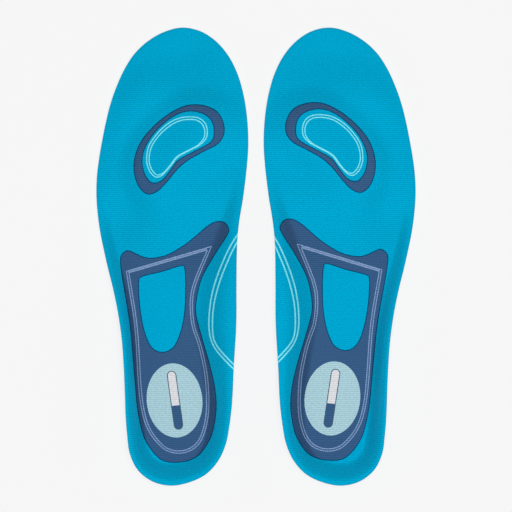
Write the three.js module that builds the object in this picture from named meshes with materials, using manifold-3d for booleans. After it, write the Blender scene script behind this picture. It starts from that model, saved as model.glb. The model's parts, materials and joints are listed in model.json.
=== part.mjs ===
import * as THREE from 'three';
import { mergeVertices } from 'three/addons/utils/BufferGeometryUtils.js';
import Module from 'manifold-3d';

// A pair of cushioned insoles lying side by side, in millimetres, +Z up and toes towards +Y.
// The origin is on the ground, halfway between the two insoles and halfway along them.
// All outlines are drawn for the right insole: x runs from the pair's mid-plane to the
// outer (lateral) side, y runs from the back of the heel. The left insole is its mirror image.

const wasm = await Module();
wasm.setup();

// ---------- driving dimensions ----------

const GAP = 0.3;                 // clearance between neighbouring pieces
const COVER = 0.9;               // knitted top cover
const FOAM = 2.2;                // soft comfort foam under the cover
const EDGE = 5.2;                // all layers together at the trimmed edge

const HEEL_FLOOR = 8.0;          // top of the footbed above the ground, heel and waist
const BALL_FLOOR = 6.0;          // the same under the ball of the foot
const TOE_FLOOR = 5.0;           // the same under the toes
const WAIST_DROP = [110, 165];   // y over which the footbed falls from heel to ball height
const TOE_DROP = [232, 266];     // y over which it falls from ball to toe height

const RIM_FLAT = 1;              // level strip along the rim, before the wall drops
const WALL_SKEW = 0.01;          // per mm of its width, how much nearer its foot a wall is steepest
const FLARE_SHARE = 0.6;         // width of the outside flare as a share of the wall's width
const FLARE_POWER = 1.5;         // how hollow the outside flare is in section

const STATIONS = 28;             // cross-sections between heel and toe
const WALL_STEPS = [0, 0.35, 0.7, 1];
const FLOOR_COLUMNS = 4;         // spans across the flat of the footbed
const WALL_LIMIT = 0.4;          // widest wall as a share of a short cross-section
const EDGE_SAMPLES = 540;

const PLATE = 1.6;               // stabiliser plate
const ARCH_WEDGE = 2.3;          // arch pad
const OUTLINE_STEPS = 44;        // straight edges round a pad's outline
const PLATE_STEPS = 84;

// Edge of the insole: x, y, height of the rim, width of the wall that rises to it.
const EDGE_POINTS = [
  [51, 0, 14.5, 14],
  [66.3, 4.4, 15, 13],
  [75.9, 16.6, 16, 12],
  [79, 38, 17, 11],
  [80.1, 65, 17.3, 10],
  [81.8, 90, 16.8, 9.5],
  [85.8, 114, 14, 9],
  [92.1, 139.5, 9.5, 8.5],
  [96.6, 163, 6.6, 8],
  [97.5, 187, 6, 8],
  [93.2, 215.5, 6, 8],
  [86.9, 239.7, 5.7, 8],
  [76.3, 261.3, 5.2, 8],
  [62.1, 274.2, 5, 8],
  [45, 279.8, 5, 8],
  [28.7, 274.7, 5, 8],
  [15.4, 260.1, 5.2, 8],
  [7.6, 238.6, 5.7, 8],
  [4.7, 211, 6, 8],
  [7, 182, 6.4, 8],
  [11.1, 154, 9, 13],
  [11.9, 126, 12.5, 24],
  [12, 99, 14.5, 28],
  [13.5, 73, 15.6, 21],
  [15, 46, 16, 15],
  [19.7, 21.5, 15.5, 13.5],
  [31.5, 6.2, 14.8, 13],
];

// Line across the ball of the foot where the insole bends.
const FLEX_LATERAL = new THREE.Vector2(92, 149.5);
const FLEX_MEDIAL = new THREE.Vector2(7.6, 189.2);

// Kidney-shaped cushion under the ball of the foot.
const KIDNEY = [
  [25.9, 215], [26.8, 221.3], [30.1, 225.5], [37, 228.3], [44.7, 228], [52.2, 224.5], [59.7, 218.3],
  [66, 210.5], [69.6, 202], [69.8, 195], [67.9, 189], [63.8, 184.5], [58.5, 185.6], [53.5, 191],
  [49, 197.3], [46.4, 199.3], [37.6, 204], [29.5, 208.3], [26.7, 211],
];

// Stabiliser plate: a loop round the heel that forks into two horns ahead of the arch.
const FORK = [
  [48.6, 14.8], [54.7, 15.1], [58.9, 17.1], [66.7, 27.2], [71, 43.2], [73, 63.2], [74.1, 76.9],
  [75.6, 93.6], [77.6, 107.9], [79.4, 117.9], [81.9, 133.6], [82.1, 138.4], [81.4, 140.8], [79.8, 142.1],
  [77.9, 141.9], [70, 138.4], [65.2, 137.5], [55, 139.3], [43.4, 145.8], [37.7, 150.2], [27.7, 158.4],
  [22.7, 160.2], [19.8, 159.3], [18.1, 156.8], [18.3, 154.5], [26.6, 141.1], [33.5, 128.9], [36.1, 121.7],
  [38.2, 109.2], [38, 104], [34.5, 90.1], [29.5, 72.8], [26.4, 58.4], [25.7, 45.9], [28.5, 30.7],
  [31.7, 24.5], [35.6, 19.3], [41.6, 15.9],
];
const WINDOW = [
  [44.2, 133.1], [43.4, 127.5], [43.4, 113.5], [44.3, 102.5], [46.6, 92.5], [50.4, 84.5], [54, 81.8],
  [57.6, 81], [61.3, 81.8], [65, 85.1], [68.2, 92.5], [70.5, 102.5], [71.8, 113.5], [72.1, 121.5],
  [71.9, 125.7], [71.1, 126.9], [57.5, 130.6], [45.4, 133.9],
];

// D-shaped pad along the inner side of the arch.
const ARCH_D = [
  [17, 140], [21, 133.5], [25, 121.5], [27.8, 107], [28.2, 95], [25.2, 84.5], [20.5, 77.5],
  [17.2, 80], [16.7, 108],
];

// Egg-shaped cushion under the heel.
const HEEL_CENTRE = new THREE.Vector2(50.1, 51.6);
const HEEL_RADII = [17, 22.7];
const HEEL_TILT = -5.8;          // degrees, the front end leans outwards

// ---------- manifold helpers ----------

function solid(geometry) {
  const bare = geometry.clone();
  bare.deleteAttribute('normal');
  bare.deleteAttribute('uv');
  const welded = mergeVertices(bare, 1e-4);
  return new wasm.Manifold(new wasm.Mesh({
    numProp: 3,
    vertProperties: Float32Array.from(welded.attributes.position.array),
    triVerts: Uint32Array.from(welded.index.array),
  }));
}

function geometryOf(manifold) {
  const mesh = manifold.getMesh();
  const geometry = new THREE.BufferGeometry();
  geometry.setAttribute('position', new THREE.BufferAttribute(mesh.vertProperties, 3));
  geometry.setIndex(new THREE.BufferAttribute(mesh.triVerts, 1));
  geometry.computeVertexNormals();
  return geometry;
}

// ---------- outlines ----------

function closedCurve(points, steps) {
  const corners = points.map(([x, y]) => new THREE.Vector3(x, y, 0));
  const curve = new THREE.CatmullRomCurve3(corners, true, 'centripetal');
  return curve.getSpacedPoints(steps).slice(0, steps).map((p) => new THREE.Vector2(p.x, p.y));
}

function heelOval(steps) {
  const [across, along] = HEEL_RADII;
  const tilt = THREE.MathUtils.degToRad(HEEL_TILT);
  return Array.from({ length: steps }, (_, i) => {
    const angle = (2 * Math.PI * i) / steps;
    const point = new THREE.Vector2(across * Math.cos(angle), along * Math.sin(angle));
    return point.rotateAround(new THREE.Vector2(), tilt).add(HEEL_CENTRE);
  });
}

// Moves every point of a closed outline outwards; a negative distance shrinks it.
function grown(points, distance) {
  const turn = THREE.ShapeUtils.isClockWise(points) ? -1 : 1;
  return points.map((point, i) => {
    const before = points[(i + points.length - 1) % points.length];
    const after = points[(i + 1) % points.length];
    const along = after.clone().sub(before).normalize();
    return new THREE.Vector2(along.y, -along.x).multiplyScalar(turn * distance).add(point);
  });
}

function prism(points, low, high) {
  const geometry = new THREE.ExtrudeGeometry(new THREE.Shape(points), {
    depth: high - low,
    bevelEnabled: false,
  });
  return solid(geometry.translate(0, 0, low));
}

// ---------- the insole's edge ----------

const rimCurve = new THREE.CatmullRomCurve3(
  EDGE_POINTS.map(([x, y, rim]) => new THREE.Vector3(x, y, rim)), true, 'catmullrom', 0.5);
const wallCurve = new THREE.CatmullRomCurve3(
  EDGE_POINTS.map((point) => new THREE.Vector3(point[3], 0, 0)), true, 'catmullrom', 0.5);

const edge = Array.from({ length: EDGE_SAMPLES }, (_, i) => {
  const at = rimCurve.getPoint(i / EDGE_SAMPLES);
  const wall = wallCurve.getPoint(i / EDGE_SAMPLES).x;
  return { x: at.x, y: at.y, rim: at.z, wall };
});

function mix(a, b, share) {
  const between = {};
  for (const key of Object.keys(a)) between[key] = a[key] + (b[key] - a[key]) * share;
  return between;
}

// Nearest place on the edge, with its distance, rim height and wall width.
function nearestEdge(x, y) {
  let best = { distance: Infinity };
  edge.forEach((a, i) => {
    const b = edge[(i + 1) % edge.length];
    const [dx, dy] = [b.x - a.x, b.y - a.y];
    const along = ((x - a.x) * dx + (y - a.y) * dy) / (dx * dx + dy * dy);
    const place = mix(a, b, THREE.MathUtils.clamp(along, 0, 1));
    const distance = Math.hypot(x - place.x, y - place.y);
    if (distance < best.distance) best = { ...place, distance };
  });
  return best;
}

// ---------- heights ----------

function footbed(y) {
  const waist = THREE.MathUtils.smoothstep(y, ...WAIST_DROP);
  const toe = THREE.MathUtils.smoothstep(y, ...TOE_DROP);
  return HEEL_FLOOR + (BALL_FLOOR - HEEL_FLOOR) * waist + (TOE_FLOOR - BALL_FLOOR) * toe;
}

// Top of the cover and underside of the base at one place of the insole.
function heights(x, y) {
  const { distance, rim, wall } = nearestEdge(x, y);
  const floor = footbed(y);
  const down = THREE.MathUtils.clamp((distance - RIM_FLAT) / (wall - RIM_FLAT), 0, 1);
  const inside = (1 + Math.cos(Math.PI * down ** (1 + WALL_SKEW * wall))) / 2;
  const outside = Math.max(0, 1 - distance / (wall * FLARE_SHARE));
  return {
    top: floor + (rim - floor) * inside,
    under: Math.max(0, rim - EDGE) * outside ** FLARE_POWER,
  };
}

// ---------- the shared grid of all full-size layers ----------

// Points at equal spacing along an open chain.
function spaced(chain, count) {
  const lengths = [0];
  for (let i = 1; i < chain.length; i += 1) {
    const step = Math.hypot(chain[i].x - chain[i - 1].x, chain[i].y - chain[i - 1].y);
    lengths.push(lengths[i - 1] + step);
  }
  const total = lengths[lengths.length - 1];
  return Array.from({ length: count + 1 }, (_, j) => {
    const wanted = (total * j) / count;
    const i = Math.min(chain.length - 1, Math.max(1, lengths.findIndex((l) => l >= wanted)));
    const share = (wanted - lengths[i - 1]) / (lengths[i] - lengths[i - 1]);
    return mix(chain[i - 1], chain[i], share);
  });
}

function extremeIndex(better) {
  return edge.reduce((best, p, i) => (better(p.y, edge[best].y) ? i : best), 0);
}

const heelTip = extremeIndex((y, best) => y < best);
const toeTip = extremeIndex((y, best) => y > best);
const lengthwiseCentre = (edge[heelTip].y + edge[toeTip].y) / 2;

// Edge samples from one index to another, forwards or backwards round the outline.
function walk(from, to, step) {
  const chain = [edge[from]];
  for (let i = from; i !== to;) {
    i = (i + step + edge.length) % edge.length;
    chain.push(edge[i]);
  }
  return chain;
}

// Distances from the edge at which a cross-section follows the wall.
function wallPlaces(wall) {
  return [0, ...WALL_STEPS.map((share) => RIM_FLAT + share * (wall - RIM_FLAT))];
}

// Each row is one cross-section, from the inner edge to the outer edge of the insole.
function gridRows() {
  const inner = spaced(walk(heelTip, toeTip, -1), STATIONS);
  const outer = spaced(walk(heelTip, toeTip, 1), STATIONS);
  return inner.map((a, j) => {
    const b = outer[j];
    const width = Math.hypot(b.x - a.x, b.y - a.y);
    if (j === 0 || j === STATIONS) return [a];
    const innerWall = Math.min(a.wall, WALL_LIMIT * width);
    const outerWall = Math.min(b.wall, WALL_LIMIT * width);
    const places = wallPlaces(innerWall);
    const span = (width - innerWall - outerWall) / FLOOR_COLUMNS;
    for (let k = 1; k < FLOOR_COLUMNS; k += 1) places.push(innerWall + k * span);
    places.push(...wallPlaces(outerWall).map((place) => width - place).reverse());
    return places.map((place) => mix(a, b, place / width));
  });
}

const rows = gridRows().map((row) => row.map(({ x, y }) => ({ x, y, ...heights(x, y) })));

// Triangles of the grid seen from above, over point numbers counted row by row.
function gridTriangles() {
  const first = [];
  rows.reduce((count, row) => {
    first.push(count);
    return count + row.length;
  }, 0);
  const triangles = [];
  for (let j = 0; j + 1 < rows.length; j += 1) {
    const columns = Math.max(rows[j].length, rows[j + 1].length) - 1;
    const near = (k) => first[j] + (rows[j].length > 1 ? k : 0);
    const far = (k) => first[j + 1] + (rows[j + 1].length > 1 ? k : 0);
    for (let k = 0; k < columns; k += 1) {
      if (rows[j].length > 1) triangles.push([near(k), near(k + 1), far(k + 1)]);
      if (rows[j + 1].length > 1) triangles.push([near(k), far(k + 1), far(k)]);
    }
  }
  return triangles;
}

// Point numbers round the border of the grid, anticlockwise from above.
function gridBorder() {
  const sides = { inner: [], outer: [] };
  let first = 0;
  rows.forEach((row) => {
    sides.inner.push(first);
    if (row.length > 1) sides.outer.push(first + row.length - 1);
    first += row.length;
  });
  return [sides.inner[0], ...sides.outer, ...sides.inner.slice(1).reverse()];
}

const triangles = gridTriangles();
const border = gridBorder();

// A closed layer over the whole insole between two heights given for each grid point.
function layer(lowOf, highOf) {
  const points = rows.flat();
  const low = points.flatMap((p) => [p.x, p.y, lowOf(p)]);
  const high = points.flatMap((p) => [p.x, p.y, highOf(p)]);
  const above = points.length;
  const index = [];
  for (const [a, b, c] of triangles) {
    index.push(a + above, b + above, c + above);
    index.push(a, c, b);
  }
  border.forEach((a, i) => {
    const b = border[(i + 1) % border.length];
    index.push(a, b, b + above);
    index.push(a, b + above, a + above);
  });
  const geometry = new THREE.BufferGeometry();
  geometry.setAttribute('position', new THREE.Float32BufferAttribute([...low, ...high], 3));
  geometry.setIndex(index);
  geometry.computeVertexNormals();
  return geometry;
}

// ---------- the pieces of one insole ----------

const foamTop = (p) => p.top - COVER - GAP;
const foamUnder = (p) => foamTop(p) - FOAM;
const baseTop = (p) => foamUnder(p) - GAP;
const CLEAR = 40;                // height that is clear of every piece

const heelTop = HEEL_FLOOR - COVER - FOAM - 2 * GAP;
const ballTop = BALL_FLOOR - COVER - FOAM - 2 * GAP;

function topCover() {
  return layer((p) => p.top - COVER, (p) => p.top);
}

function comfortFoam() {
  return layer(foamUnder, foamTop);
}

// Everything behind (sign -1) or ahead (sign +1) of the bending line.
function halfSpace(sign) {
  const reach = 400;
  const along = FLEX_LATERAL.clone().sub(FLEX_MEDIAL);
  const middle = FLEX_LATERAL.clone().add(FLEX_MEDIAL).divideScalar(2);
  const block = new THREE.BoxGeometry(reach, reach, 2 * CLEAR);
  block.translate(0, (sign * (reach + GAP)) / 2, 0);
  block.rotateZ(Math.atan2(along.y, along.x));
  block.translate(middle.x, middle.y, 0);
  return solid(block);
}

function wholeBase() {
  return solid(layer((p) => p.under, baseTop));
}

function heelCradle() {
  const recess = prism(grown(closedCurve(FORK, PLATE_STEPS), GAP), -1, PLATE + GAP)
    .subtract(prism(grown(closedCurve(WINDOW, OUTLINE_STEPS), -GAP), -2, PLATE + 1));
  const pocket = solid(layer((p) => baseTop(p) - ARCH_WEDGE - GAP, () => CLEAR))
    .intersect(prism(closedCurve(ARCH_D, OUTLINE_STEPS), 0, CLEAR));
  return geometryOf(wholeBase()
    .intersect(halfSpace(-1))
    .subtract(prism(heelOval(OUTLINE_STEPS), -1, CLEAR))
    .subtract(recess)
    .subtract(pocket));
}

function forefootBase() {
  return geometryOf(wholeBase()
    .intersect(halfSpace(1))
    .subtract(prism(closedCurve(KIDNEY, OUTLINE_STEPS), -1, CLEAR)));
}

function stabiliser() {
  return geometryOf(prism(closedCurve(FORK, PLATE_STEPS), 0, PLATE)
    .subtract(prism(closedCurve(WINDOW, OUTLINE_STEPS), -1, CLEAR))
    .subtract(prism(heelOval(OUTLINE_STEPS), -1, CLEAR)));
}

function heelPad() {
  return geometryOf(prism(grown(heelOval(OUTLINE_STEPS), -GAP), 0, heelTop));
}

function forefootPad() {
  return geometryOf(prism(grown(closedCurve(KIDNEY, OUTLINE_STEPS), -GAP), 0, ballTop));
}

function archPad() {
  return geometryOf(solid(layer((p) => baseTop(p) - ARCH_WEDGE, baseTop))
    .intersect(prism(grown(closedCurve(ARCH_D, OUTLINE_STEPS), -GAP), 0, CLEAR)));
}

// ---------- materials and assembly ----------

function finish(color, roughness) {
  return new THREE.MeshStandardMaterial({ color, roughness, metalness: 0 });
}

const PIECES = [
  ['top_cover', topCover(), finish('#08a3cc', 0.9)],
  ['comfort_foam', comfortFoam(), finish('#dfe9ee', 0.85)],
  ['heel_cradle', heelCradle(), finish('#1f7fa8', 0.8)],
  ['forefoot_base', forefootBase(), finish('#35a8c9', 0.8)],
  ['stabiliser', stabiliser(), finish('#2f4a78', 0.45)],
  ['heel_pad', heelPad(), finish('#a7cbd5', 0.3)],
  ['forefoot_pad', forefootPad(), finish('#78d7ee', 0.3)],
  ['arch_pad', archPad(), finish('#c7e3ec', 0.8)],
];

function insole(side, mirror) {
  const group = new THREE.Group();
  for (const [name, geometry, material] of PIECES) {
    const mesh = new THREE.Mesh(geometry, material);
    mesh.name = `${side}_${name}`;
    group.add(mesh);
  }
  group.scale.x = mirror;
  group.position.y = -lengthwiseCentre;
  return group;
}

const pair = new THREE.Group();
pair.add(insole('left', -1), insole('right', 1));

export default pair;
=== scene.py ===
"""A pair of cushioned insoles lying side by side: printed knit covers over soft foam, on firm
cradles and forefoot bases that hold a flexible plate and gel pads.

Shapes are worked out in millimetres for the right insole, and the left one is its mirror image.
Print outlines are drawn as [x, y]: x from the pair's mid-plane, y from the back of the heel.
"""

import json
import math

import bpy
import numpy as np
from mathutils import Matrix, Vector, kdtree
from mathutils.geometry import delaunay_2d_cdt

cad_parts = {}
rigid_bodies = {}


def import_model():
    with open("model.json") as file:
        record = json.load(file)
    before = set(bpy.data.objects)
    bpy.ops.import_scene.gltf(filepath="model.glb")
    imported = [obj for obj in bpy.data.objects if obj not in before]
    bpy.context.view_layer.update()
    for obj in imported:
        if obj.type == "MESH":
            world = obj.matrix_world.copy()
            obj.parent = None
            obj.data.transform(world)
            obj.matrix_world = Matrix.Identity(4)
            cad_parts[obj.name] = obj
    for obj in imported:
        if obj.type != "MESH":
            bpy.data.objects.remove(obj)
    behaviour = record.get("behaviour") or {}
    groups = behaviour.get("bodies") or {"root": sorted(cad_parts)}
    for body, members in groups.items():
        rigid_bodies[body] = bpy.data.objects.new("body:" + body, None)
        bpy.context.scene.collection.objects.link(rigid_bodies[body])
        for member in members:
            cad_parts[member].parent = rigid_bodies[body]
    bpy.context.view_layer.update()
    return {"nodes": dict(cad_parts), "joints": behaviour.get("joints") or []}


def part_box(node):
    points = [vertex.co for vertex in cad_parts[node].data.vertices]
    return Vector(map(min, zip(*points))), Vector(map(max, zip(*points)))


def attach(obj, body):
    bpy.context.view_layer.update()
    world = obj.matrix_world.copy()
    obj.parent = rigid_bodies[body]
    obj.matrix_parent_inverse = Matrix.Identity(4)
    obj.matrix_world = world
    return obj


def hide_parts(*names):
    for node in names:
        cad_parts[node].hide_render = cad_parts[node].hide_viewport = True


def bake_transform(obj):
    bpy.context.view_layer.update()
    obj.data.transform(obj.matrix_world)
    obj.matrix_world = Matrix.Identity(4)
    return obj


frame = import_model()

MM = 0.001

# ---------- the layers, as in the CAD model ----------

COVER = 0.9                  # knitted top cover
LAYERS = 3.7                 # cover, foam and glue lines together, above the base
EDGE = 5.2                   # all layers together at the trimmed edge
GAP = 0.3                    # clearance round a piece set into another
GLUE = 0.1                   # between bonded layers
PLATE_RECESS = 1.9           # depth of the cradle's recess for the stabiliser plate
ARCH_WEDGE = 2.3             # arch pad
RIM_FLAT = 1.0               # level strip along the rim
WALL_SKEW = 0.01             # per millimetre of its width, how much nearer its foot a wall is steepest
FLARE_SHARE = 0.6            # width of the outside flare as a share of the wall's width
FLARE_POWER = 1.5            # how hollow the flare is in section
WAIST_DROP = (110, 165)      # from the heel, where the footbed falls to ball height
TOE_DROP = (232, 266)        # where it falls to toe height

# Width of the wall inside the rim at distances from the heel, inner and outer side.
INNER_WALL = (
    (0, 14), (6, 13), (21, 13.5), (46, 15), (73, 21), (99, 28), (126, 24), (154, 13), (182, 8),
)
OUTER_WALL = (
    (0, 14), (4, 13), (16, 12), (38, 11), (65, 10), (90, 9.5), (114, 9), (139, 8.5), (163, 8),
)
WALL_SMOOTHING = 8           # edge samples over which a change of width is eased
UPRIGHT = 0.1                # a face whose normal rises or falls less than this is a side face
LEVEL = 0.01                 # corners this close above the lowest one belong to the underside

# ---------- the look ----------

KIDNEY_LIFT = 1.5            # bump of the footbed over the forefoot pad
KIDNEY_BRIM = 4.0            # where it starts to fall, inside the printed ring
KIDNEY_SKIRT = (14, 24)      # width over which it falls, on the outer and on the inner side
OUTWARDS = np.array([0.9, 0.44])    # away from the arch, and a little forwards
# Unevenness of the soft forefoot: turn per millimetre along x and y, and height, of each wave.
WAVES = ((0.12, 0.05, 0.3), (-0.05, 0.11, 0.25), (0.09, 0.15, 0.12))
WAVE_MARGIN = 14             # they fade out towards the edge within this distance

RIB = 1.22                   # pitch of the knit's ribs
STITCH = 0.9                 # pitch of the stitches along a rib
RIB_FALL = 3.6               # how fast a stitch falls away across and along the rib
STITCH_FALL = 1.6
FIBRE_SCALE = 900.0          # fibres per metre
PAINTED_STITCH_SHADING = 0.23         # painted shade: how much darker the colour is made in the hollows between the stitches, with a third as much painted light on their tops
FLECKS = (0.82, 1.2)         # darkest and lightest fibres
GLEAM = 1.3                  # how much of a dye's colour its yarn's soft gleam takes
KNIT_RELIEF = 0.25           # height of the stitches

COVER_ROUND = 0.35           # radius of each layer's edges
FOAM_ROUND = 0.25
BASE_ROUND = 0.3
PLATE_ROUND = 0.4
GEL_ROUND = 0.5
ARCH_ROUND = 0.4
ROUNDING_STEPS = (0.15, 0.5, 1.0)    # shares of the radius at which a rounded edge is faceted
SHARP_ANGLE = 40             # degrees between facets that aren't shaded as one surface
DRAFT = 0.15                 # sideways slope of a recess's wall
FLARE_GROOVES = (1.6, 3.0, 4.4)    # distances of the cradle's moulded grooves from the rim
GROOVE_WIDTH = 0.7
GROOVE_SHARE = 0.07          # depth of a flare groove as a share of the flare's height
TRIM_LINES = (4, 8)          # cutting guides under the toes, from the edge
TRIM_START = 205             # from the heel, where they begin
TRIM_DEPTH = 0.3
CELL = 5.2                   # honeycomb under the gel pads
CELL_WALL = 1.1
CELL_DEPTH = 0.35
PLATE_GROOVE = 0.4           # depth of the groove along the plate
PLATE_GROOVE_TRIM = 6        # line points left out at each end of it

COVER_SPACING = 1.0          # size of the facets
FOAM_SPACING = 2.2
BASE_SPACING = 1.8
PAD_SPACING = 1.2
LOOP_SPACING = 1.0
ROW_SHARE = 0.87             # distance between the rows of facets as a share of their size
CLEARANCE = 0.5              # facets keep this share of their size away from drawn lines

# ---------- printed outlines ----------

RING_OUTER = [
    [74.9, 195], [73.6, 202.9], [69.9, 211], [62.3, 219.8], [52.2, 227.6], [42.1, 232], [32, 231.8],
    [24.2, 228.1], [20.4, 221.5], [20, 214.5], [23.5, 208.8], [32.8, 203.7], [42.2, 198.4],
    [48.4, 193.1], [55.5, 184.6], [61.1, 179.3], [66.5, 177.8], [71.2, 181.4], [74.1, 188],
]
KIDNEY_LINE = [
    [67.2, 199], [66, 206.6], [62, 213.2], [56, 219.4], [49, 223.6], [42, 225], [35.5, 224.3],
    [31.6, 221.4], [30.1, 216.4], [30.8, 211.9], [34.7, 207.8], [40, 205], [48.6, 200.1],
    [51.9, 195.8], [58.4, 188.9], [61.4, 188.2], [64.5, 190.6], [66.5, 194.6],
]
KIDNEY_LINE_INNER = [
    [65.7, 199], [64.4, 206.2], [60.6, 212.4], [54.8, 218.2], [48.4, 222.1], [42, 223.4],
    [36.3, 222.8], [33, 220.3], [31.6, 216.2], [32.1, 212.4], [35.2, 208.2], [48.9, 200.4],
    [52.3, 196.1], [55.7, 191.9], [58.6, 189.8], [61, 189.6], [63.3, 191.6], [65, 195],
]
ARCH_LINE = [
    [9, 157], [17.6, 142.8], [26.9, 117.8], [28.9, 95], [26.3, 85.4], [19.5, 76.7], [10.5, 68],
]
ARCH_LINE_INNER = [
    [9, 152.8], [14, 144.5], [22.9, 122.8], [26.5, 106.3], [26.4, 90.8], [24.5, 85.8],
    [18.1, 78.1], [10, 70.3],
]
BAND_OUTER = [
    [79.6, 130.6], [75.2, 103], [74, 92.2], [70.4, 46.7], [65.8, 32.7], [57.6, 22.7], [53.1, 20.2],
    [47.6, 19.3], [42.2, 20.2], [37.6, 22.7], [33.5, 27.7], [29.6, 41.3], [29.6, 63.1],
    [32.6, 80.4], [34.9, 88.6], [37.9, 97.5], [39.1, 110], [37.9, 119.9], [27.6, 145.8],
]
BAND_WIDTH = 1.5
BAR_WIDTH = 1.2              # narrower across the top
BAND_STEP = BAR_WIDTH / 4    # distance between points along the band
TICK_EVERY = 5               # points from one tick to the next
TICK_SLANT = 4               # points by which a tick leans forwards
BAND_LINE = 0.42             # widths of the band's lines and ticks
BAND_TICK = 0.34
KIDNEY_PEN = 0.65            # widths of the pale lines
ARCH_PEN = 0.9
KEY_LINE = 0.6               # dark line round the navy areas
FORK_MARGIN = 1.0            # how far the printed fork reaches past the plate under it

# How each cover's print lies off its pattern: moved [outwards, forwards], and turned in degrees.
PRINT_SHIFT = {"left": [-0.3, 0], "right": [-2.8, 1.2]}
PRINT_TURN = {"left": 0, "right": -0.6}
PRINT_CENTRE = [50, 110]
WINDOW_CORNERS = [[44.4, 134.2], [71.7, 126.7]]    # sharper in print than in the plate

LABEL_TOP = [51.9, 66.9]
LABEL_FOOT = [47.7, 36.6]
LABEL_SPLIT = 0.6            # share of its length that is white
LABEL_RADIUS = 2.9
LABEL_BORDER = 0.55

# ---------- screen colours, 0 to 255 ----------

INKS = {
    "cyan": (0, 163, 205),
    "navy": (48, 79, 115),
    "key": (4, 56, 88),
    "pale": (168, 204, 216),
    "bright": (130, 234, 255),
    "dusty": (138, 164, 204),
    "dim": (98, 126, 166),
    "white": (222, 222, 228),
    "grey": (56, 76, 96),
}
BACKING = (120, 178, 196)
FOAM_WHITE = (220, 230, 235)
CRADLE_BLUE = (31, 127, 168)
FOREFOOT_BLUE = (53, 168, 201)
PLATE_NAVY = (47, 74, 120)
HEEL_GEL = (167, 203, 213)
BALL_GEL = (120, 215, 238)
ARCH_FOAM = (199, 227, 236)

# ---------- the camera, sweep and lamp, in metres ----------

LENS = 200                   # focal length and width of the sensor, in millimetres
SENSOR = 36
VIEW_WIDTH = 0.313           # width of the picture at the height of the footbed
SWEEP_FLAT = 5.0             # radius of the sweep's level part
SWEEP_BEND = 4.0             # radius of its bend
SWEEP_DROP = 0.0001          # keeps it out of the plane of the undersides
LAMP_PLACE = (0.07, -0.1, 1.6)
LAMP_WIDTH = 0.6

nodes = frame["nodes"]
heel_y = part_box("right_top_cover")[0].y / MM


# ---------- outlines in the plane ----------

def curve(points, closed=True, steps=12):
    """Centripetal Catmull-Rom curve through the points."""
    p = np.array(points, float)
    ends = (p[-1:], p[:2]) if closed else ([2 * p[0] - p[1]], [2 * p[-1] - p[-2]])
    p = np.vstack([ends[0], p, ends[1]])
    t = np.linspace(0, 1, steps, endpoint=False)[:, None]
    parts = []
    for a, b, c, d in zip(p, p[1:], p[2:], p[3:]):
        ab, bc, cd = (math.dist(start[:2], end[:2]) ** 0.5 for start, end in ((a, b), (b, c), (c, d)))
        leave = ((b - a) / ab - (c - a) / (ab + bc) + (c - b) / bc) * bc
        arrive = ((c - b) / bc - (d - b) / (bc + cd) + (d - c) / cd) * bc
        parts.append((2 * t**3 - 3 * t**2 + 1) * b + (t**3 - 2 * t**2 + t) * leave
                     + (3 * t**2 - 2 * t**3) * c + (t**3 - t**2) * arrive)
    if not closed:
        parts.append(p[-2][None])
    return np.vstack(parts)


def respaced(points, spacing, closed=True):
    """The same line with its points at equal spacing."""
    line = np.vstack([points, points[:1]]) if closed else points
    lengths = np.append(0, np.cumsum(np.hypot(*np.diff(line[:, :2], axis=0).T)))
    count = max(3, round(lengths[-1] / spacing))
    wanted = np.linspace(0, lengths[-1], count, endpoint=False) if closed else \
        np.linspace(0, lengths[-1], count + 1)
    return np.column_stack([np.interp(wanted, lengths, column) for column in line.T])


def from_heel(points, closed=True):
    """A smooth print outline, moved from the heel's back to the frame's origin."""
    return respaced(curve(points, closed), LOOP_SPACING, closed) + [0, heel_y]


def normals(line, closed=True):
    """Unit normals to the right of a line's direction."""
    if closed:
        along = np.roll(line, -1, 0)[:, :2] - np.roll(line, 1, 0)[:, :2]
    else:
        along = np.gradient(line[:, :2], axis=0)
    along = along / np.hypot(*along.T)[:, None]
    return np.column_stack([along[:, 1], -along[:, 0]])


def grown(loop, distance):
    """A closed outline moved outwards; a negative distance shrinks it."""
    x, y = loop[:, 0], loop[:, 1]
    turn = np.sign(np.sum(x * np.roll(y, -1) - np.roll(x, -1) * y))
    return loop[:, :2] + turn * distance * normals(loop)


def stroke(path, width):
    """Outline of a pen stroke along an open path."""
    side = normals(path, closed=False) * width / 2
    return np.vstack([path + side, (path - side)[::-1]])


def inside(points, loops):
    """Which points lie inside an odd number of the loops."""
    odd = np.zeros(len(points), bool)
    x, y = points[:, 0, None], points[:, 1, None]
    for loop in loops:
        low, high = loop[:, :2].min(0), loop[:, :2].max(0)
        near = np.where(np.all((points >= low) & (points <= high), axis=1))[0]
        a, b = loop[:, :2], np.roll(loop[:, :2], -1, 0)
        crosses = (a[:, 1] > y[near]) != (b[:, 1] > y[near])
        rise = np.where(b[:, 1] == a[:, 1], 1, b[:, 1] - a[:, 1])
        left = x[near] < a[:, 0] + (y[near] - a[:, 1]) * (b[:, 0] - a[:, 0]) / rise
        odd[near] ^= np.sum(crosses & left, axis=1) % 2 == 1
    return odd


def nearest_on(loop, points):
    """Distance from each point to a closed loop, and the loop's values there."""
    tree = kdtree.KDTree(len(loop))
    for i, row in enumerate(loop):
        tree.insert((row[0], row[1], 0), i)
    tree.balance()
    at = np.array([tree.find((x, y, 0))[1] for x, y in points])
    best, place = np.full(len(points), np.inf), np.zeros((len(points), loop.shape[1]))
    for step in (-1, 0):
        a, b = loop[(at + step) % len(loop)], loop[(at + step + 1) % len(loop)]
        ab = (b - a)[:, :2]
        share = np.clip(np.sum((points - a[:, :2]) * ab, 1) / np.sum(ab * ab, 1), 0, 1)[:, None]
        spot = a + (b - a) * share
        distance = np.hypot(*(points - spot[:, :2]).T)
        closer = distance < best
        best[closer], place[closer] = distance[closer], spot[closer]
    return best, place


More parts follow.
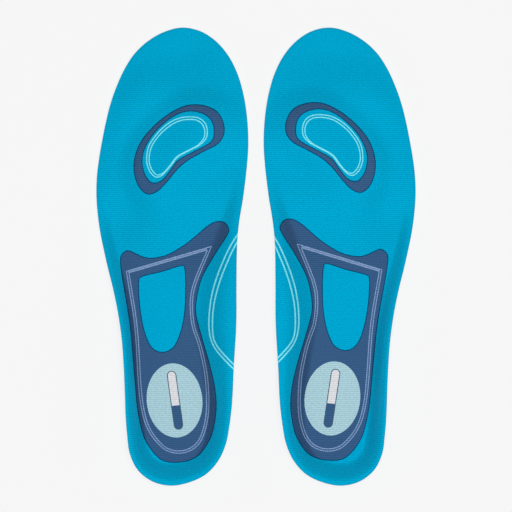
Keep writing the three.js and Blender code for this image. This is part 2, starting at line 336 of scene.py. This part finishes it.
def ease(t):
    """From 0 to 1 as t does, with a gentle start and end."""
    t = np.clip(t, 0, 1)
    return t * t * (3 - 2 * t)


# ---------- outlines read from the CAD model ----------

def corners_of(node):
    """The corners of a CAD node in millimetres."""
    mesh = nodes[node].data
    corners = np.zeros(len(mesh.vertices) * 3)
    mesh.vertices.foreach_get("co", corners)
    return corners.reshape(-1, 3) / MM


def rim_points(node):
    """[x, y, height] round the upper edge of a full-size layer, in order."""
    corners = corners_of(node)
    tops = {}
    for face in nodes[node].data.polygons:
        if abs(face.normal.z) < UPRIGHT:
            for x, y, z in corners[list(face.vertices)]:
                place = (round(x, 2), round(y, 2))
                tops[place] = max(z, tops.get(place, z))
    rim = np.array([[x, y, z] for (x, y), z in tops.items()])
    middle = (rim.min(0) + rim.max(0)) / 2
    return rim[np.argsort(np.arctan2(rim[:, 1] - middle[1], rim[:, 0] - middle[0]))]


def footprint(node):
    """Closed outlines of a CAD node's flat underside, the largest first."""
    corners = corners_of(node)
    floor = corners[:, 2].min() + LEVEL
    numbers = {}
    onward = {}
    for face in nodes[node].data.polygons:
        if corners[list(face.vertices), 2].max() > floor:
            continue
        ring = [numbers.setdefault(tuple(np.round(corners[i, :2], 3)), len(numbers))
                for i in face.vertices]
        for a, b in zip(ring, ring[1:] + ring[:1]):
            if onward.get(b, {}).pop(a, None) is None:
                onward.setdefault(a, {})[b] = True
    places = np.array(list(numbers))
    loops = []
    while any(onward.values()):
        start = at = next(a for a, following in onward.items() if following)
        loop = []
        while not loop or at != start:
            loop.append(at)
            at = onward[at].popitem()[0]
        loops.append(places[loop])
    loops.sort(key=lambda loop: -np.ptp(loop[:, 1]))
    return [respaced(curve(loop, steps=4), LOOP_SPACING) for loop in loops]


def wall_widths(rim):
    """Width of the wall at each place of the edge."""
    along = rim[:, 1] - heel_y
    middle = (rim[:, 0].min() + rim[:, 0].max()) / 2
    inner = np.interp(along, *zip(*INNER_WALL))
    outer = np.interp(along, *zip(*OUTER_WALL))
    width = np.where(rim[:, 0] < middle, inner, outer)
    weights = np.hanning(2 * WALL_SMOOTHING + 1)
    padded = np.concatenate([width[-WALL_SMOOTHING:], width, width[:WALL_SMOOTHING]])
    return np.convolve(padded, weights / weights.sum(), "valid")


rim = respaced(curve(rim_points("right_top_cover")), LOOP_SPACING)
edge = np.column_stack([rim, wall_widths(rim)])
outline = rim[:, :2]

plate_loop, window_loop, *_ = footprint("right_stabiliser")
heel_loop = grown(footprint("right_heel_pad")[0], GAP)
kidney_loop = grown(footprint("right_forefoot_pad")[0], GAP)
arch_loop = respaced(curve(rim_points("right_arch_pad"), steps=4), LOOP_SPACING)[:, :2]


# ---------- heights ----------

HEEL_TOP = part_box("right_heel_pad")[1].z / MM + LAYERS
BALL_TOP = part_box("right_forefoot_pad")[1].z / MM + LAYERS
TOE_TOP = rim[np.argmax(rim[:, 1]), 2]


def footbed(y):
    """Height of the middle of the top surface along the insole."""
    waist = ease((y - heel_y - WAIST_DROP[0]) / (WAIST_DROP[1] - WAIST_DROP[0]))
    toe = ease((y - heel_y - TOE_DROP[0]) / (TOE_DROP[1] - TOE_DROP[0]))
    return HEEL_TOP + (BALL_TOP - HEEL_TOP) * waist + (TOE_TOP - BALL_TOP) * toe


def kidney_bump(points):
    """The footbed swells over the forefoot pad, and falls faster on the outer side."""
    brim = grown(from_heel(RING_OUTER), -KIDNEY_BRIM)
    away, place = nearest_on(brim, points)
    away[inside(points, [brim])] = 0
    offset = points - place[:, :2]
    cosine = offset @ OUTWARDS / np.maximum(np.hypot(*offset.T), 1e-6)
    outer, inner = KIDNEY_SKIRT
    skirt = (outer + inner) / 2 + (outer - inner) / 2 * cosine
    return KIDNEY_LIFT * (1 - ease(away / skirt))


def waves(points):
    """Slight unevenness of the soft forefoot, fading out before the arch."""
    ahead = ease((points[:, 1] - heel_y - WAIST_DROP[0]) / (WAIST_DROP[1] - WAIST_DROP[0]))
    return ahead * sum(height * np.sin(points @ [x, y]) for x, y, height in WAVES)


def section(points):
    """Top of the cover, underside of the base, distance from the edge and height of the flare."""
    distance, place = nearest_on(edge, points)
    rim_height, wall = place[:, 2], place[:, 3]
    floor = footbed(points[:, 1])
    down = np.clip((distance - RIM_FLAT) / (wall - RIM_FLAT), 0, 1)
    within = (1 + np.cos(np.pi * down ** (1 + WALL_SKEW * wall))) / 2
    outside = np.clip(1 - distance / (wall * FLARE_SHARE), 0, 1) ** FLARE_POWER
    flare = np.maximum(0, rim_height - EDGE)
    top = floor + (rim_height - floor) * within + kidney_bump(points)
    top += waves(points) * np.clip(distance / WAVE_MARGIN, 0, 1)
    return top, flare * outside, distance, flare


def rounding(distance, radius):
    """How far a surface drops near an edge that is rounded to this radius."""
    left = np.clip(radius - distance, 0, radius)
    return radius - np.sqrt(radius**2 - left**2)


# ---------- meshes ----------

def edge_guides(loops, radius):
    """Lines inside the material that give a rounded edge its facets."""
    signs = [-1] + [1] * (len(loops) - 1)
    return [grown(loop, sign * share * radius)
            for loop, sign in zip(loops, signs) for share in ROUNDING_STEPS]


def recess_guides(loops):
    """The lines at the brim and the foot of a recess's wall."""
    return [line for loop in loops for line in (loop, grown(loop, -DRAFT))]


def in_recess(points, loops):
    """Which points lie on the floor of a recess, or on the lower half of its wall."""
    return inside(points, [grown(loop, -DRAFT / 2) for loop in loops])


def filled(loops, guides, spacing):
    """Points and triangles that fill the first loop outside the others, with guides as edges."""
    rings = [loop[:, :2] for loop in loops + guides]
    low, high = rings[0].min(0), rings[0].max(0)
    columns = np.arange(low[0], high[0], spacing)
    rows = np.arange(low[1], high[1], spacing * ROW_SHARE)
    grid_x, grid_y = np.meshgrid(columns, rows)
    grid_x[1::2] += spacing / 2
    grid = np.column_stack([grid_x.ravel(), grid_y.ravel()])
    grid = grid[inside(grid, loops)]
    drawn = np.vstack(rings)
    tree = kdtree.KDTree(len(drawn))
    for i, (x, y) in enumerate(drawn):
        tree.insert((x, y, 0), i)
    tree.balance()
    free = np.array([tree.find((x, y, 0))[2] > CLEARANCE * spacing for x, y in grid])
    starts = np.cumsum([0] + [len(ring) for ring in rings])
    borders = [(start + i, start + (i + 1) % len(ring))
               for start, ring in zip(starts, rings) for i in range(len(ring))]
    places = [Vector(p) for p in np.vstack([drawn, grid[free]])]
    found, _, faces, *_ = delaunay_2d_cdt(places, borders, [], 0, 1e-5)
    points, triangles = np.array(found), np.array(faces)
    kept = inside(points[triangles].mean(1), loops)
    used, renumbered = np.unique(triangles[kept], return_inverse=True)
    return points[used], renumbered.reshape(-1, 3)


def border_edges(triangles):
    """Directed edges that only one triangle uses."""
    edges = np.vstack([triangles[:, [0, 1]], triangles[:, [1, 2]], triangles[:, [2, 0]]])
    there = {tuple(e) for e in edges}
    return np.array([e for e in edges if (e[1], e[0]) not in there])


def slab(loops, guides, spacing, radius, top_and_under):
    """Vertices and faces of a layer with rounded edges, between two heights given at points."""
    points, triangles = filled(loops, edge_guides(loops, radius) + guides, spacing)
    top, under = top_and_under(points)
    drop = rounding(np.min([nearest_on(loop, points)[0] for loop in loops], axis=0), radius)
    count = len(points)
    vertices = np.vstack([np.column_stack([points, top - drop]),
                          np.column_stack([points, under + drop])])
    a, b = border_edges(triangles).T
    walls = np.vstack([np.column_stack([b, a, a + count]), np.column_stack([b, a + count, b + count])])
    return vertices, np.vstack([triangles, triangles[:, ::-1] + count, walls])


def make_object(name, vertices, faces, materials, paint, mirrored):
    """A mesh object of one insole from millimetre arrays."""
    metres = vertices * ([-1, 1, 1] if mirrored else [1, 1, 1]) * MM
    facing = faces[:, ::-1] if mirrored else faces
    mesh = bpy.data.meshes.new(name)
    mesh.from_pydata(metres.tolist(), [], facing.tolist())
    cloth = mesh.uv_layers.new(name="cloth")
    corners = np.zeros(len(mesh.loops), int)
    mesh.loops.foreach_get("vertex_index", corners)
    cloth.data.foreach_set("uv", metres[corners, :2].ravel())
    for material in materials:
        mesh.materials.append(material)
    mesh.polygons.foreach_set("material_index", paint.astype(np.int32))
    mesh.polygons.foreach_set("use_smooth", np.ones(len(faces), bool))
    mesh.set_sharp_from_angle(angle=math.radians(SHARP_ANGLE))
    thing = bpy.data.objects.new(name, mesh)
    bpy.context.scene.collection.objects.link(thing)
    return thing


def pair_of(name, vertices, faces, material):
    """The left and the right copy of a piece in one material."""
    paint = np.zeros(len(faces))
    return {side: make_object(f"{side}_{name}", vertices, faces, [material], paint, side == "left")
            for side in ("left", "right")}


# ---------- materials ----------

def linear(red, green, blue):
    """Shader colour of a screen colour given in 0 to 255."""
    parts = [c / 255 for c in (red, green, blue)]
    return [c / 12.92 if c <= 0.04045 else ((c + 0.055) / 1.055) ** 2.4 for c in parts] + [1]


def wired(tree, kind, inputs, **settings):
    """A new node with its settings made and its inputs set or linked; gives its first output."""
    node = tree.nodes.new(kind)
    for key, value in settings.items():
        setattr(node, key, value)
    for key, value in inputs.items():
        if isinstance(value, bpy.types.NodeSocket):
            tree.links.new(value, node.inputs[key])
        else:
            node.inputs[key].default_value = value
    return node.outputs[0]


def maths(tree, operation, a, b=0.0, clamp=False):
    """Output of a maths node on two values or sockets."""
    return wired(tree, "ShaderNodeMath", {0: a, 1: b}, operation=operation, use_clamp=clamp)


def ramp(tree, value, dark, light, low=0.0, high=1.0):
    """Colour between dark and light as the value goes from low to high."""
    node = tree.nodes.new("ShaderNodeValToRGB")
    node.color_ramp.elements[0].position, node.color_ramp.elements[1].position = low, high
    node.color_ramp.elements[0].color, node.color_ramp.elements[1].color = dark, light
    tree.links.new(value, node.inputs[0])
    return node.outputs[0]


def shaded(colour, factor):
    """A colour made darker or lighter."""
    return [min(1, c * factor) for c in colour[:3]] + [1]


def new_material(name, **constants):
    """A material with the constants set on its Principled shader."""
    material = bpy.data.materials.new(name)
    material.use_nodes = True
    shader = material.node_tree.nodes["Principled BSDF"]
    for socket, value in constants.items():
        shader.inputs[socket.replace("_", " ")].default_value = value
    return material, material.node_tree, shader


def knit_group():
    """Height of the knit's stitches and its scattered light fibres, as a shared node group."""
    group = bpy.data.node_groups.new("knit", "ShaderNodeTree")
    group.interface.new_socket("relief", in_out="OUTPUT", socket_type="NodeSocketFloat")
    group.interface.new_socket("fibres", in_out="OUTPUT", socket_type="NodeSocketFloat")
    place = wired(group, "ShaderNodeUVMap", {}, uv_map="cloth")
    split = group.nodes.new("ShaderNodeSeparateXYZ")
    group.links.new(place, split.inputs[0])
    across, along = split.outputs[0], split.outputs[1]
    rows = maths(group, "DIVIDE", along, RIB * MM)
    odd_row = maths(group, "FLOORED_MODULO", maths(group, "FLOOR", rows), 2.0)
    shift = maths(group, "MULTIPLY", odd_row, 0.5)
    columns = maths(group, "ADD", maths(group, "DIVIDE", across, STITCH * MM), shift)
    in_row = maths(group, "SUBTRACT", maths(group, "FRACT", rows), 0.5)
    in_column = maths(group, "SUBTRACT", maths(group, "FRACT", columns), 0.5)
    row_drop = maths(group, "MULTIPLY", maths(group, "MULTIPLY", in_row, in_row), RIB_FALL)
    column_drop = maths(group, "MULTIPLY", maths(group, "MULTIPLY", in_column, in_column), STITCH_FALL)
    relief = maths(group, "SUBTRACT", maths(group, "SUBTRACT", 1.0, row_drop), column_drop, clamp=True)
    stretched = wired(group, "ShaderNodeMapping", {"Vector": place, "Scale": (1, 1.6, 1)})
    fibres = wired(group, "ShaderNodeTexNoise", {"Vector": stretched, "Scale": FIBRE_SCALE,
                                                 "Detail": 3.0, "Roughness": 0.7})
    ends = group.nodes.new("NodeGroupOutput")
    group.links.new(relief, ends.inputs["relief"])
    group.links.new(fibres, ends.inputs["fibres"])
    return group


def knit_material(name, group, ink):
    """Ribbed polyester knit dyed or printed in one colour."""
    brightest = max(ink[:3])
    gleam = [min(1, GLEAM * c / math.sqrt(brightest)) for c in ink[:3]] + [1]
    material, tree, shader = new_material(name, Roughness=0.52, IOR=1.6, Specular_IOR_Level=1.0,
                                          Specular_Tint=gleam)
    knit = tree.nodes.new("ShaderNodeGroup")
    knit.node_tree = group
    # Painted shade in the hollows between the stitches and painted light on their tops, following the
    # stitch height.
    between, on_top = shaded(ink, 1 - PAINTED_STITCH_SHADING), shaded(ink, 1 + PAINTED_STITCH_SHADING / 3)
    stitches = ramp(tree, knit.outputs["relief"], between, on_top)
    darkest, lightest = ([tone] * 3 + [1] for tone in FLECKS)
    flecks = ramp(tree, knit.outputs["fibres"], darkest, lightest, 0.35, 0.65)
    colour = wired(tree, "ShaderNodeVectorMath", {0: stitches, 1: flecks}, operation="MULTIPLY")
    tree.links.new(colour, shader.inputs["Base Color"])
    bump = wired(tree, "ShaderNodeBump", {"Height": knit.outputs["relief"], "Strength": 0.25,
                                          "Distance": KNIT_RELIEF * MM})
    tree.links.new(bump, shader.inputs["Normal"])
    return material


def cellular_material(name, colour, cell, depth):
    """Foam with cells of this width and depth in millimetres."""
    material, tree, shader = new_material(name, Roughness=0.8)
    place = wired(tree, "ShaderNodeTexCoord", {}).node.outputs["Object"]
    cells = wired(tree, "ShaderNodeTexVoronoi", {"Vector": place, "Scale": 1 / (cell * MM)})
    clouds = wired(tree, "ShaderNodeTexNoise", {"Vector": place, "Scale": 60.0, "Detail": 4.0})
    # Painted shade: the colour is darkest in each cell's pit, where the bump sinks, and lighter on the
    # cell walls.
    grain = ramp(tree, cells, shaded(colour, 0.8), shaded(colour, 1.05), 0.0, 0.6)
    tint = ramp(tree, clouds, [0.93, 0.93, 0.93, 1], [1.05, 1.05, 1.05, 1], 0.35, 0.65)
    mixed = wired(tree, "ShaderNodeVectorMath", {0: grain, 1: tint}, operation="MULTIPLY")
    tree.links.new(mixed, shader.inputs["Base Color"])
    bump = wired(tree, "ShaderNodeBump", {"Height": cells, "Strength": 0.4, "Distance": depth * MM})
    tree.links.new(bump, shader.inputs["Normal"])
    return material


def moulded_material(name, colour, grain, roughness, **constants):
    """Moulded plastic or gel with a fine eroded grain, its size in millimetres, and slight clouding."""
    material, tree, shader = new_material(name, **constants)
    place = wired(tree, "ShaderNodeTexCoord", {}).node.outputs["Object"]
    fine = wired(tree, "ShaderNodeTexNoise", {"Vector": place, "Scale": 1 / (grain * MM),
                                              "Detail": 2.0})
    clouds = wired(tree, "ShaderNodeTexNoise", {"Vector": place, "Scale": 45.0, "Detail": 3.0})
    mixed = ramp(tree, clouds, shaded(colour, 0.9), shaded(colour, 1.1), 0.3, 0.7)
    tree.links.new(mixed, shader.inputs["Base Color"])
    gloss = wired(tree, "ShaderNodeMapRange", {"Value": fine, "To Min": roughness - 0.06,
                                               "To Max": roughness + 0.08})
    tree.links.new(gloss, shader.inputs["Roughness"])
    bump = wired(tree, "ShaderNodeBump", {"Height": fine, "Strength": 0.25, "Distance": 0.1 * MM})
    tree.links.new(bump, shader.inputs["Normal"])
    return material


# ---------- the printed cover ----------

def ribbon(loop, width):
    """A pen line along a closed outline, as its two borders."""
    return [grown(loop, width / 2), grown(loop, -width / 2)]


def cornered(loop, corners, reach=3):
    """A closed outline with its rounded corners drawn out to these points."""
    for corner in corners:
        away = np.hypot(*(loop - corner).T)
        turn = len(loop) // 2 - np.argmin(away)
        loop, away = np.roll(loop, turn, 0), np.roll(away, turn)
        near = np.where(away < reach)[0]
        loop = np.vstack([loop[:near[0]], [corner], loop[near[-1] + 1:]])
    return loop


def tick(a, b):
    """Outline of a short pen stroke across the band."""
    return stroke(np.array([a, (a + b) / 2, b]), BAND_TICK)


def band():
    """[ink, loops] of the plate's band: two lines that meet at a straight bar, with ticks between."""
    path = respaced(from_heel(BAND_OUTER, closed=False), BAND_STEP, closed=False)
    inward = path + normals(path, closed=False) * BAND_WIDTH
    bar = path[0] - path[-1]
    bar_length = math.hypot(*bar)
    bar = bar / bar_length
    across = np.array([bar[1], -bar[0]])
    under_bar = (inward - path[-1]) @ across >= BAR_WIDTH
    areas = []
    for i in np.where(under_bar)[0][:-TICK_SLANT:TICK_EVERY]:
        areas.append(("dim", [tick(path[i], inward[i + TICK_SLANT])]))
    for along in np.arange(2 * BAND_WIDTH, bar_length - BAND_WIDTH, 2 * BAND_TICK):
        start = path[-1] + bar * along
        areas.append(("dusty", [tick(start, start + across * BAR_WIDTH + bar * BAR_WIDTH / 2)]))
    for line in (path, inward[under_bar]):
        across_top = np.linspace(line[-1], line[0], round(bar_length))
        for part in (respaced(line, LOOP_SPACING, closed=False), across_top):
            areas.append(("dusty", [stroke(part, BAND_LINE)]))
    return areas


def capsule(foot, top, radius, steps=10):
    """Outline of a bar with round ends."""
    foot, top = np.array(foot), np.array(top)
    turn = math.atan2(*(top - foot)[::-1]) - math.pi / 2
    arc = np.linspace(0, math.pi, steps)
    ends = [centre + radius * np.column_stack([np.cos(arc + turn + half), np.sin(arc + turn + half)])
            for centre, half in ((top, 0), (foot, math.pi))]
    return respaced(np.vstack(ends), LOOP_SPACING / 2) + [0, heel_y]


def label():
    """A plain two-tone capsule with no lettering."""
    middle = np.array(LABEL_FOOT) * LABEL_SPLIT + np.array(LABEL_TOP) * (1 - LABEL_SPLIT)
    upper = capsule(LABEL_FOOT, LABEL_TOP, LABEL_RADIUS - LABEL_BORDER)
    along = np.array(LABEL_TOP) - LABEL_FOOT
    filled_part = upper[(upper - [0, heel_y] - middle) @ along < 0]
    return [
        ("grey", [capsule(LABEL_FOOT, LABEL_TOP, LABEL_RADIUS)]),
        ("white", [upper]),
        ("navy", [filled_part]),
    ]


def prints():
    """[ink, loops] of each printed area, the later ones over the earlier ones."""
    ring = from_heel(RING_OUTER)
    fork = grown(plate_loop, FORK_MARGIN)
    window = cornered(window_loop, np.array(WINDOW_CORNERS) + [0, heel_y])
    areas = [("navy", [ring, kidney_loop]), ("navy", [fork, window])]
    areas += [("key", ribbon(loop, KEY_LINE)) for loop in (ring, kidney_loop, fork, window)]
    areas.append(("pale", [heel_loop]))
    for line in (KIDNEY_LINE, KIDNEY_LINE_INNER):
        areas.append(("bright", ribbon(from_heel(line), KIDNEY_PEN)))
    for line in (ARCH_LINE, ARCH_LINE_INNER):
        areas.append(("bright", [stroke(from_heel(line, closed=False), ARCH_PEN)]))
    return areas + band() + label()


def placed(loop, side):
    """A printed outline where it sits on that side's cover."""
    turn = math.radians(PRINT_TURN[side])
    turned = np.array([[math.cos(turn), math.sin(turn)], [-math.sin(turn), math.cos(turn)]])
    centre = np.array(PRINT_CENTRE) + [0, heel_y]
    return (loop - centre) @ turned + centre + PRINT_SHIFT[side]


def top_cover():
    """Printed knit, moulded to the footbed."""
    group = knit_group()
    inks = {ink: knit_material(f"knit_{ink}", group, linear(*rgb)) for ink, rgb in INKS.items()}
    backing = knit_material("knit_backing", group, linear(*BACKING))
    names = list(inks)
    pattern = prints()

    def skin(points):
        top = section(points)[0]
        return top, top - COVER

    def cover(side):
        areas = [(ink, [placed(loop, side) for loop in loops]) for ink, loops in pattern]
        guides = [loop for _, loops in areas for loop in loops]
        vertices, faces = slab([outline], guides, COVER_SPACING, COVER_ROUND, skin)
        paint = np.full(len(faces), len(names))
        upper = np.all(faces < len(vertices) // 2, axis=1)
        paint[upper] = names.index("cyan")
        centres = vertices[faces].mean(1)[:, :2]
        for ink, loops in areas:
            paint[upper & inside(centres, loops)] = names.index(ink)
        materials = [*inks.values(), backing]
        return make_object(f"{side}_cover", vertices, faces, materials, paint, side == "left")

    return {side: cover(side) for side in ("left", "right")}


# ---------- the layers below ----------

def comfort_foam():
    """Soft foam under the whole cover."""
    def layer(points):
        top = section(points)[0]
        return top - COVER - GLUE, top - LAYERS + GLUE

    vertices, faces = slab([outline], [], FOAM_SPACING, FOAM_ROUND, layer)
    foam = cellular_material("foam", linear(*FOAM_WHITE), cell=0.5, depth=0.12)
    return pair_of("foam", vertices, faces, foam)


def ahead_of_flex(points):
    """Distance of points ahead of the right insole's bending line."""
    return (points - flex_at["right"][:2]) @ flex_way["right"][:2]


def clipped(loop, sign):
    """The part of an outline ahead of the bending line (sign 1) or behind it (sign -1)."""
    beyond = sign * ahead_of_flex(loop) - GAP / 2
    start = np.where((beyond > 0) & (np.roll(beyond, 1) <= 0))[0][0]
    loop, beyond = np.roll(loop, -start, 0), np.roll(beyond, -start)
    last = np.sum(beyond > 0) - 1
    enter = loop[0] + (loop[-1] - loop[0]) * beyond[0] / (beyond[0] - beyond[-1])
    leave_share = beyond[last] / (beyond[last] - beyond[last + 1])
    leave = loop[last] + (loop[last + 1] - loop[last]) * leave_share
    return respaced(np.vstack([enter, loop[:last + 1], leave]), LOOP_SPACING)


def heel_cradle():
    """Firm base behind the bending line, with openings for the plate, heel pad and arch pad."""
    plate_recess = [grown(plate_loop, GAP), grown(window_loop, -GAP)]
    arch_pocket = [grown(arch_loop, GAP)]
    grooves = [grown(outline, -place - side * GROOVE_WIDTH / 2)
               for place in FLARE_GROOVES for side in (-1, 0, 1)]

    def base(points):
        top, under, distance, flare = section(points)
        top = top - LAYERS
        top[in_recess(points, arch_pocket)] -= ARCH_WEDGE + GAP
        for place in FLARE_GROOVES:
            near = 1 - np.abs(distance - place) / (GROOVE_WIDTH / 2)
            under = under + GROOVE_SHARE * flare * np.clip(near, 0, 1)
        sunk = in_recess(points, plate_recess)
        under[sunk] = np.maximum(under[sunk], PLATE_RECESS)
        return top, under

    guides = recess_guides(plate_recess + arch_pocket) + grooves
    loops = [clipped(outline, -1), heel_loop]
    vertices, faces = slab(loops, guides, BASE_SPACING, BASE_ROUND, base)
    eva = cellular_material("cradle_eva", linear(*CRADLE_BLUE), cell=0.3, depth=0.05)
    return pair_of("cradle", vertices, faces, eva)


def trim_lines():
    """Thin closed shapes along the cutting guides under the toes."""
    shapes = []
    for distance in TRIM_LINES:
        line = grown(outline, -distance)
        line = np.roll(line, -np.argmin(line[:, 1]), 0)
        shapes.append(stroke(line[line[:, 1] - heel_y > TRIM_START], GROOVE_WIDTH))
    return shapes


def forefoot_base():
    """Firm base ahead of the bending line, open for the forefoot pad."""
    lines = trim_lines()

    def base(points):
        top, under, *_ = section(points)
        under[in_recess(points, lines)] += TRIM_DEPTH
        return top - LAYERS, under

    loops = [clipped(outline, 1), kidney_loop]
    vertices, faces = slab(loops, recess_guides(lines), BASE_SPACING, BASE_ROUND, base)
    eva = cellular_material("forefoot_eva", linear(*FOREFOOT_BLUE), cell=0.3, depth=0.05)
    return pair_of("forefoot_base", vertices, faces, eva)


def stabiliser():
    """Flexible plate that forks round the arch, grooved along its band."""
    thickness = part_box("right_stabiliser")[1].z / MM
    middle = from_heel(BAND_OUTER, closed=False)[PLATE_GROOVE_TRIM:-PLATE_GROOVE_TRIM]
    groove = [stroke(middle, BAND_WIDTH)]

    def plate(points):
        under = PLATE_GROOVE * in_recess(points, groove)
        return np.full(len(points), thickness), under

    loops = [plate_loop, window_loop, heel_loop]
    vertices, faces = slab(loops, recess_guides(groove), BASE_SPACING, PLATE_ROUND, plate)
    plastic = moulded_material("plate", linear(*PLATE_NAVY), grain=0.4, roughness=0.42)
    return pair_of("plate", vertices, faces, plastic)


def honeycomb(loop):
    """Hexagons that fit inside an outline."""
    radius = (CELL - CELL_WALL) / math.sqrt(3)
    corners = radius * np.array([[math.sin(a), math.cos(a)] for a in np.arange(6) * math.pi / 3])
    low, high = loop.min(0), loop.max(0)
    margin = [grown(loop, -CELL_WALL)]
    hexagons = []
    for row, y in enumerate(np.arange(low[1], high[1], CELL * math.sqrt(3) / 2)):
        for x in np.arange(low[0] + row % 2 * CELL / 2, high[0], CELL):
            hexagon = corners[::-1] + [x, y]
            if inside(hexagon, margin).all():
                hexagons.append(hexagon)
    return hexagons


def gel_pad(name, node, colour):
    """Gel pad with a honeycomb underside, as high as the base round it."""
    loop = footprint(node)[0]
    hexagons = honeycomb(loop)

    def pad(points):
        under = CELL_DEPTH * in_recess(points, hexagons)
        return section(points)[0] - LAYERS, under

    vertices, faces = slab([loop], recess_guides(hexagons), PAD_SPACING, GEL_ROUND, pad)
    gel = moulded_material(name, colour, grain=0.5, roughness=0.3, Subsurface_Weight=0.15)
    return pair_of(name, vertices, faces, gel)


def heel_pad():
    """Gel pad under the heel."""
    return gel_pad("heel_gel", "right_heel_pad", linear(*HEEL_GEL))


def forefoot_pad():
    """Kidney-shaped gel pad under the ball of the foot."""
    return gel_pad("ball_gel", "right_forefoot_pad", linear(*BALL_GEL))


def arch_pad():
    """Soft wedge in the cradle's pocket under the arch."""
    def wedge(points):
        top = section(points)[0] - LAYERS
        return top, top - ARCH_WEDGE

    vertices, faces = slab([arch_loop], [], PAD_SPACING, ARCH_ROUND, wedge)
    foam = cellular_material("arch_foam", linear(*ARCH_FOAM), cell=0.4, depth=0.1)
    return pair_of("arch_foam", vertices, faces, foam)


# ---------- stage ----------

def make_camera():
    """Straight above, with the toes at the top of the picture."""
    camera = bpy.data.objects.new("camera", bpy.data.cameras.new("camera"))
    camera.data.sensor_width = SENSOR
    camera.data.lens = LENS
    camera.location = (0, 0, VIEW_WIDTH / SENSOR * LENS + HEEL_TOP * MM)
    bpy.context.scene.collection.objects.link(camera)
    bpy.context.scene.camera = camera


def make_floor():
    """White studio sweep: a round floor that curves up at its rim and glows, so it stays even."""
    bend = np.linspace(0, math.pi / 2, 9)
    profile = [(SWEEP_FLAT + SWEEP_BEND * math.sin(a), SWEEP_BEND * (1 - math.cos(a))) for a in bend]
    turns = np.linspace(0, 2 * math.pi, 48, endpoint=False)
    vertices = [(r * math.cos(t), r * math.sin(t), z) for r, z in profile for t in turns]
    count = len(turns)
    faces = [tuple(range(count))]
    for row in range(0, len(vertices) - count, count):
        for i in range(count):
            onward = (i + 1) % count
            faces.append((row + i, row + count + i, row + count + onward, row + onward))
    mesh = bpy.data.meshes.new("sweep")
    mesh.from_pydata(vertices, [], faces)
    material, *_ = new_material("sweep", Base_Color=(0.16, 0.16, 0.16, 1), Roughness=0.9,
                                Specular_IOR_Level=0.1, Emission_Color=(1, 1, 1, 1),
                                Emission_Strength=0.79)
    mesh.materials.append(material)
    sweep = bpy.data.objects.new("sweep", mesh)
    sweep.location.z = -SWEEP_DROP
    bpy.context.scene.collection.objects.link(sweep)


def make_lights():
    """A large lamp above, a little towards the heels and the right, and faint light all round."""
    world = bpy.data.worlds.new("studio")
    world.use_nodes = True
    world.node_tree.nodes["Background"].inputs["Color"].default_value = (1, 1, 1, 1)
    world.node_tree.nodes["Background"].inputs["Strength"].default_value = 0.06
    bpy.context.scene.world = world
    lamp = bpy.data.objects.new("softbox", bpy.data.lights.new("softbox", "AREA"))
    lamp.data.shape = "DISK"
    lamp.data.size = LAMP_WIDTH
    lamp.data.energy = 17
    lamp.location = LAMP_PLACE
    lamp.rotation_euler = Vector(lamp.location).to_track_quat("Z", "Y").to_euler()
    bpy.context.scene.collection.objects.link(lamp)
    bpy.context.scene.view_settings.view_transform = "Standard"


# ---------- assembly ----------

flex_at = {}
flex_way = {}
for joint in frame["joints"]:
    if joint["type"] == "hinge":
        side = joint["parent"].split("_")[0]
        flex_at[side] = np.array(joint["pos_m"]) / MM
        flex_way[side] = np.array([-joint["axis"][1], joint["axis"][0], 0])

# Builder, CAD node, the body it rides on (BENT for a piece across the toe joint, which is left
# unattached), material slot, stuffing.
BENT = ("rearfoot", "forefoot")
PIECES = [
    (top_cover, "top_cover", BENT, "knit", None),
    (comfort_foam, "comfort_foam", BENT, "foam", 1.0),
    (heel_cradle, "heel_cradle", BENT, "cradle_eva", None),
    (forefoot_base, "forefoot_base", BENT, "forefoot_eva", None),
    (stabiliser, "stabiliser", "rearfoot", "plate", None),
    (heel_pad, "heel_pad", "rearfoot", "heel_gel", 1.0),
    (forefoot_pad, "forefoot_pad", "forefoot", "ball_gel", 1.0),
    (arch_pad, "arch_pad", "rearfoot", "arch_foam", 1.0),
]


def join(piece, side, bodies):
    """The piece rides on one body; a piece across the toe joint is left unattached, with its transform
    baked in.
    """
    if bodies is not BENT:
        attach(piece, f"{side}_{bodies}")
        return
    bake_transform(piece)


make_camera()
make_floor()
make_lights()

for builder, node, bodies, slot_name, fill in PIECES:
    for side, piece in builder().items():
        join(piece, side, bodies)
        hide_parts(f"{side}_{node}")
